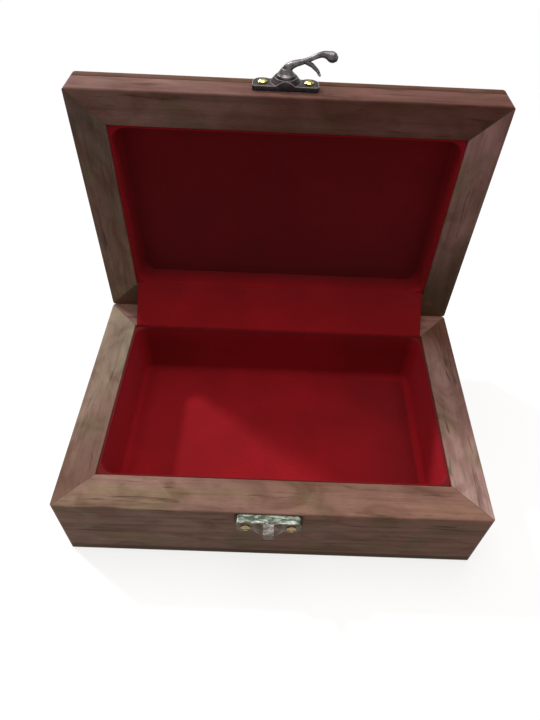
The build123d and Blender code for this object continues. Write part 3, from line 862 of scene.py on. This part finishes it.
def carved_board(name, settings, material):
    """The top board of the lid with its carving, as one closed piece."""
    width, height = BOX_WIDTH / 2, BOX_DEPTH / 2
    ground = settings.depth / MM
    near = (0, 0.08, 0.3, 0.65, 1.1, 1.6)
    edge, corner, rim = near[-1], 2.0, 2.2
    columns, lines = (
        stations(half, near, half - rim, round(2 * (half - rim) / (settings.cell / MM)))
        for half in (width, height)
    )
    mesh = bmesh.new()
    rows = []
    for y in lines:
        row = []
        for x in columns:
            inset = min(width - abs(x), height - abs(y), edge)
            depth = rounded_off(inset, edge)
            if inset >= edge:
                depth = carved_depth(x, y, ground)
            # Points beyond the board's round corners come back to them
            spot = (x, y)
            over = [abs(x) - width + corner, abs(y) - height + corner]
            if min(over) > 0:
                scale = max(over) / math.hypot(*over)
                spot = (
                    math.copysign(width - corner + over[0] * scale, x),
                    math.copysign(height - corner + over[1] * scale, y),
                )
            place = Vector((spot[0], LID_TOP - depth, LID_MIDDLE + spot[1]))
            row.append(mesh.verts.new(place * MM))
        rows.append(row)
    join_rows(mesh, rows)
    upper = border(rows)
    lower = [mesh.verts.new((point.co.x, LID_JOINT * MM, point.co.z)) for point in upper]
    join_rows(mesh, [upper, lower], closed=True)
    mesh.faces.new(lower)
    mesh_piece(name, mesh, "lid", material, ["lid_board"])


def eased_rail(name, node):
    """The rail at the hinges, its corner planed fine so that the open lid sits on the base."""
    cad = nodes[node]
    data = cad.data.copy()
    data.transform(cad.matrix_world)
    play = HINGE_Z - RIM
    for vertex in data.vertices:
        if vertex.co.y < (LID_RIM + play) * MM and vertex.co.z < (HINGE_Z + play) * MM:
            vertex.co -= Vector((0, play, play)) * MM
    rail = placed(name, data)
    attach(rail, "lid")
    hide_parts(node)
    return rail


def finish_boards(pieces, boards, seam, settings):
    """Gives each board of a frame its own cut of oiled wood."""
    for node, (grain, offset, tones) in boards.items():
        wood = oiled_wood(node.replace("_", " "), grain, offset, tones, settings, seam)
        finish_with(pieces[node], wood)


class JEWELRY_OT_bottom_board(bpy.types.Operator):
    """Gives the bottom board its darker oiled wood"""

    bl_idname = "jewelry.bottom_board"
    bl_label = "Bottom Board"

    def execute(self, context):
        finish_with(nodes["bottom_board"], oiled_wood(
            "bottom board", "X", (17, 43, 150), ("#51412f", "#4a3a29"),
            context.scene.jewelry_wood, seam=((0, 0, FLOOR), None, (0, 0, 1)),
        ))
        return {"FINISHED"}


class JEWELRY_OT_base_boards(bpy.types.Operator):
    """Gives the mitred walls of the base their oiled wood"""

    bl_idname = "jewelry.base_boards"
    bl_label = "Base Boards"

    def execute(self, context):
        seam = ((0, 0, FLOOR), (1, -1, 0), (0, 0, 1))
        finish_boards(nodes, BASE_BOARDS, seam, context.scene.jewelry_wood)
        return {"FINISHED"}


class JEWELRY_OT_lid_rails(bpy.types.Operator):
    """Gives the mitred rails of the lid their oiled wood"""

    bl_idname = "jewelry.lid_rails"
    bl_label = "Lid Rails"

    def execute(self, context):
        pieces = {**nodes, "lid_back_rail": eased_rail("eased_hinge_rail", "lid_back_rail")}
        seam = ((0, LID_JOINT, LID_MIDDLE), (1, 0, -1), (0, 1, 0))
        finish_boards(pieces, LID_RAILS, seam, context.scene.jewelry_wood)
        return {"FINISHED"}


class JEWELRY_OT_carved_board(bpy.types.Operator):
    """Carves the top board of the lid: a sunk field with a flower, leaves and a chip border"""

    bl_idname = "jewelry.carved_board"
    bl_label = "Carved Lid Board"

    def execute(self, context):
        carving = context.scene.jewelry_carving
        carved_board("carved_lid_board", carving, oiled_wood(
            "carved lid board", "X", (120, 33, 64), ("#7a5748", "#6c4939"),
            context.scene.jewelry_wood, seam=((0, LID_JOINT, LID_MIDDLE), None, (0, 1, 0)),
            carved=(LID_TOP * MM, carving.depth),
        ))
        return {"FINISHED"}


class JEWELRY_OT_linings(bpy.types.Operator):
    """Lines the walls of both halves with velvet over card"""

    bl_idname = "jewelry.linings"
    bl_label = "Velvet Walls"

    def execute(self, context):
        velvet = context.scene.jewelry_velvet
        radius = velvet.corner_radius / MM
        sides = ("front", "back", "left", "right")
        # Painted shade darkens the top of the base's walls under the rim, and the walls facing
        # sideways are painted lighter
        velvet_wall(
            "base_velvet_wall", in_base, RIM - LINING_DROP - FLOOR, FLOOR_PAD, 5.0, radius,
            0, "base", red_velvet("walls", velvet, sides=0.6, painted_shade=(
                "Z", RIM - 2.6, RIM - 1.2, 0.55
            )), [f"base_lining_{side}" for side in sides],
        )
        # Painted shade darkens the lid's walls deeper into the recess
        velvet_wall(
            "lid_velvet_wall", in_lid, LID_JOINT - LID_RIM - LINING_DROP, LID_PAD, 3.0, radius,
            -1, "lid", red_velvet("lid walls", velvet, sides=0.2, painted_shade=(
                "Y", LID_RIM + 2.0, LID_JOINT - 1.0, 0.45
            )), [f"lid_lining_{side}" for side in sides],
        )
        return {"FINISHED"}


class JEWELRY_OT_pads(bpy.types.Operator):
    """Pads the floor of the base and the inside of the lid with velvet"""

    bl_idname = "jewelry.pads"
    bl_label = "Velvet Pads"

    def execute(self, context):
        velvet = context.scene.jewelry_velvet
        half_width, half_height = CAVITY_X - LINING - 0.1, CAVITY_Y - LINING - 0.1
        # Painted shade darkens the floor pad towards the right
        velvet_pad(
            "floor_velvet_pad", in_base, half_width, half_height, FLOOR_PAD,
            velvet.floor_crown / MM, "base",
            red_velvet("floor pad", velvet, painted_shade=("X", 25, 75, 0.28)),
            ["base_floor_pad"],
        )
        # Painted shade darkens the lid's pad, most towards the bottom
        velvet_pad(
            "lid_velvet_pad", in_lid, half_width, half_height, LID_PAD, LID_CROWN, "lid",
            red_velvet("lid pad in painted shade", velvet, painted_shade=(
                "Z", LID_MIDDLE + 160, LID_MIDDLE - 45, 0.62
            )), ["lid_lining_pad"],
        )
        return {"FINISHED"}


class JEWELRY_OT_web(bpy.types.Operator):
    """Stretches the velvet web from the base to the lid"""

    bl_idname = "jewelry.web"
    bl_label = "Velvet Web"

    def execute(self, context):
        # Painted shade darkens the web towards the lid
        velvet_web("hinge_velvet_web", red_velvet(
            "web", context.scene.jewelry_velvet, painted_shade=("Z", 56, 66, 0.22)
        ))
        return {"FINISHED"}


class JEWELRY_OT_castings(bpy.types.Operator):
    """Finishes the latch plate, the keeper and the swinging hook in antique bronze"""

    bl_idname = "jewelry.castings"
    bl_label = "Latch Castings"

    def execute(self, context):
        metal = context.scene.jewelry_metal
        zinc = "Cast zinc, bronzed, "
        for node, name, look in (
            ("latch_plate", zinc + "plate", {}),
            ("keeper_plate", zinc + "keeper worn and painted lighter on top",
             {"finish": metal.keeper, "wear": 0.35, "silvered_and_lit": True}),
            ("latch_hook", zinc + "hook worn by hand",
             {"finish": metal.pewter, "roughness": 0.34}),
            ("latch_rivet", "Drawn steel rivet, bronzed", {"roughness": 0.5, "wear": 0.4}),
        ):
            finish_with(nodes[node], antique_bronze(name, metal, **look))
        return {"FINISHED"}


class JEWELRY_OT_round_screws(bpy.types.Operator):
    """Finishes the slotted round-head screws in lacquered brass"""

    bl_idname = "jewelry.round_screws"
    bl_label = "Round-head Screws"

    def execute(self, context):
        metal = context.scene.jewelry_metal
        bright = turned_brass("Turned brass, lacquered", metal.brass, 0.2)
        finish_with(nodes["latch_screws"], bright)
        worn = turned_brass("Turned brass, tarnished", metal.dull, 0.36)
        finish_with(nodes["keeper_screws"], worn)
        return {"FINISHED"}


class JEWELRY_OT_hinges(bpy.types.Operator):
    """Finishes the butt hinges, their pins and their flush screws"""

    bl_idname = "jewelry.hinges"
    bl_label = "Hinges"

    def execute(self, context):
        metal = context.scene.jewelry_metal
        stamped = turned_brass("Stamped brass, plated", metal.hinge, 0.4)
        for piece in ("base_leaf_left", "base_leaf_right", "lid_leaf_left", "lid_leaf_right",
                      "base_screws", "lid_screws"):
            finish_with(nodes["hinge_" + piece], stamped)
        drawn = turned_brass("Drawn brass pin", metal.brass, 0.34)
        for side in ("left", "right"):
            finish_with(nodes[f"hinge_pin_{side}"], drawn)
        return {"FINISHED"}


def seen_directly(tree):
    """One for rays from the camera and those that metal or glass sends on, else zero."""
    path = add_node(tree, "LightPath").outputs
    seen = path["Is Camera Ray"]
    for ray in ("Is Glossy Ray", "Is Transmission Ray"):
        seen = add_node(tree, "Math", {0: seen, 1: path[ray]}, operation="MAXIMUM")
    return seen


def paper_floor(colour):
    """Matt paper that goes over into plain white away from the box, and keeps its shadow."""
    material, tree, where = new_material("Matt paper floor")
    grain = add_node(tree, "TexNoise", {"Vector": where, "Scale": 1 / (2 * MM), "Detail": 2})
    paper = stained(tree, "#dddbd8", colour, grain, 0, 1, start=0.985)
    lit = add_node(tree, "BsdfDiffuse", {"Color": paper})
    white = add_node(tree, "Emission", {"Color": "#ffffff", "Strength": 1.0})
    plain = add_node(tree, "MapRange", {
        "Value": add_node(tree, "VectorMath", {0: where}, operation="LENGTH"),
        "From Min": 0.22, "From Max": 0.6, "To Min": 0.78, "To Max": 1,
    }, interpolation_type="SMOOTHSTEP")
    shown = add_node(tree, "MixShader", {0: plain, 1: lit, 2: white})
    # The box is lit from below as by a duller floor, so that its colours stay deep
    dull = add_node(tree, "BsdfDiffuse", {"Color": "#a8a6a3"})
    add_node(tree, "OutputMaterial", {"Surface": add_node(tree, "MixShader", {
        0: seen_directly(tree), 1: dull, 2: shown,
    })})
    return material


def studio(strength):
    """A soft warm dome of light, which the camera and metal see as plain white."""
    world = bpy.data.worlds.new("Studio")
    world.use_nodes = True
    tree = world.node_tree
    tree.nodes.clear()
    dome = add_node(tree, "Background", {"Color": "#fff5ec", "Strength": strength})
    white = add_node(tree, "Background", {"Color": "#ffffff", "Strength": 1.0})
    add_node(tree, "OutputWorld", {"Surface": add_node(tree, "MixShader", {
        0: seen_directly(tree), 1: dome, 2: white,
    })})
    return world


class JEWELRY_OT_stage(bpy.types.Operator):
    """Sets up the pale floor, the soft light and the camera"""

    bl_idname = "jewelry.stage"
    bl_label = "Stage"

    def execute(self, context):
        scene, stage = context.scene, context.scene.jewelry_stage

        mesh = bmesh.new()
        bmesh.ops.create_circle(mesh, cap_ends=True, radius=6, segments=96)
        data = bpy.data.meshes.new("studio_floor")
        mesh.to_mesh(data)
        mesh.free()
        floor = placed("studio_floor", data)
        finish_with(floor, paper_floor(stage.floor))
        scene.world = studio(stage.dome)

        overhead = bpy.data.lights.new("overhead_softbox", "AREA")
        overhead.shape = "SQUARE"
        overhead.size = 0.9
        overhead.energy = stage.overhead
        softbox = placed("overhead_softbox", overhead)
        softbox.location = (0, 0.1, 1.2)
        side = bpy.data.lights.new("side_window", "SUN")
        side.energy = stage.side
        side.angle = math.radians(5)
        window = placed("side_window", side)
        from_window = Vector((-0.84, 0.62, 1.0))
        window.rotation_euler = from_window.to_track_quat("Z", "Y").to_euler()

        # The camera that the corners of the box in the photograph ask for
        camera = bpy.data.cameras.new("camera")
        camera.sensor_width = 36
        camera.lens = 28.42
        camera.shift_x = -0.0135
        camera.shift_y = -0.0374
        camera.clip_start = 0.01
        viewer = placed("camera", camera)
        stand = Vector((-0.00344, -0.18326, 0.28911))
        right = Vector((0.99917626, 0.01981789, 0.03541254))
        up = Vector((-0.03873322, 0.72604743, 0.68655289))
        turn = Matrix((right, up, right.cross(up))).transposed()
        viewer.matrix_world = Matrix.Translation(stand) @ turn.to_4x4()
        scene.camera = viewer
        scene.view_settings.view_transform = "Standard"
        return {"FINISHED"}


class JEWELRY_PT_sidebar(bpy.types.Panel):
    """Lists the steps that finish the box"""

    bl_idname = "JEWELRY_PT_sidebar"
    bl_label = "Jewelry Box"
    bl_space_type = "VIEW_3D"
    bl_region_type = "UI"
    bl_category = "Jewelry Box"

    def draw(self, context):
        for group, kind in SETTINGS.items():
            box = self.layout.box()
            box.label(text=group.removeprefix("jewelry_").capitalize())
            for name in kind.__annotations__:
                box.prop(getattr(context.scene, group), name)
        for operator in OPERATORS:
            self.layout.operator(operator.bl_idname)


SETTINGS = {
    "jewelry_wood": WoodSettings,
    "jewelry_velvet": VelvetSettings,
    "jewelry_carving": CarvingSettings,
    "jewelry_metal": MetalSettings,
    "jewelry_stage": StageSettings,
}
OPERATORS = (
    JEWELRY_OT_bottom_board,
    JEWELRY_OT_base_boards,
    JEWELRY_OT_lid_rails,
    JEWELRY_OT_carved_board,
    JEWELRY_OT_linings,
    JEWELRY_OT_pads,
    JEWELRY_OT_web,
    JEWELRY_OT_castings,
    JEWELRY_OT_round_screws,
    JEWELRY_OT_hinges,
    JEWELRY_OT_stage,
)
CLASSES = (*SETTINGS.values(), *OPERATORS, JEWELRY_PT_sidebar)


def register():
    for kind in CLASSES:
        bpy.utils.register_class(kind)
    for name, kind in SETTINGS.items():
        setattr(bpy.types.Scene, name, bpy.props.PointerProperty(type=kind))


def unregister():
    for name in SETTINGS:
        delattr(bpy.types.Scene, name)
    for kind in reversed(CLASSES):
        bpy.utils.unregister_class(kind)


def main():
    register()
    for operator in OPERATORS:
        group, name = operator.bl_idname.split(".")
        getattr(getattr(bpy.ops, group), name)()


if __name__ == "__main__":
    main()
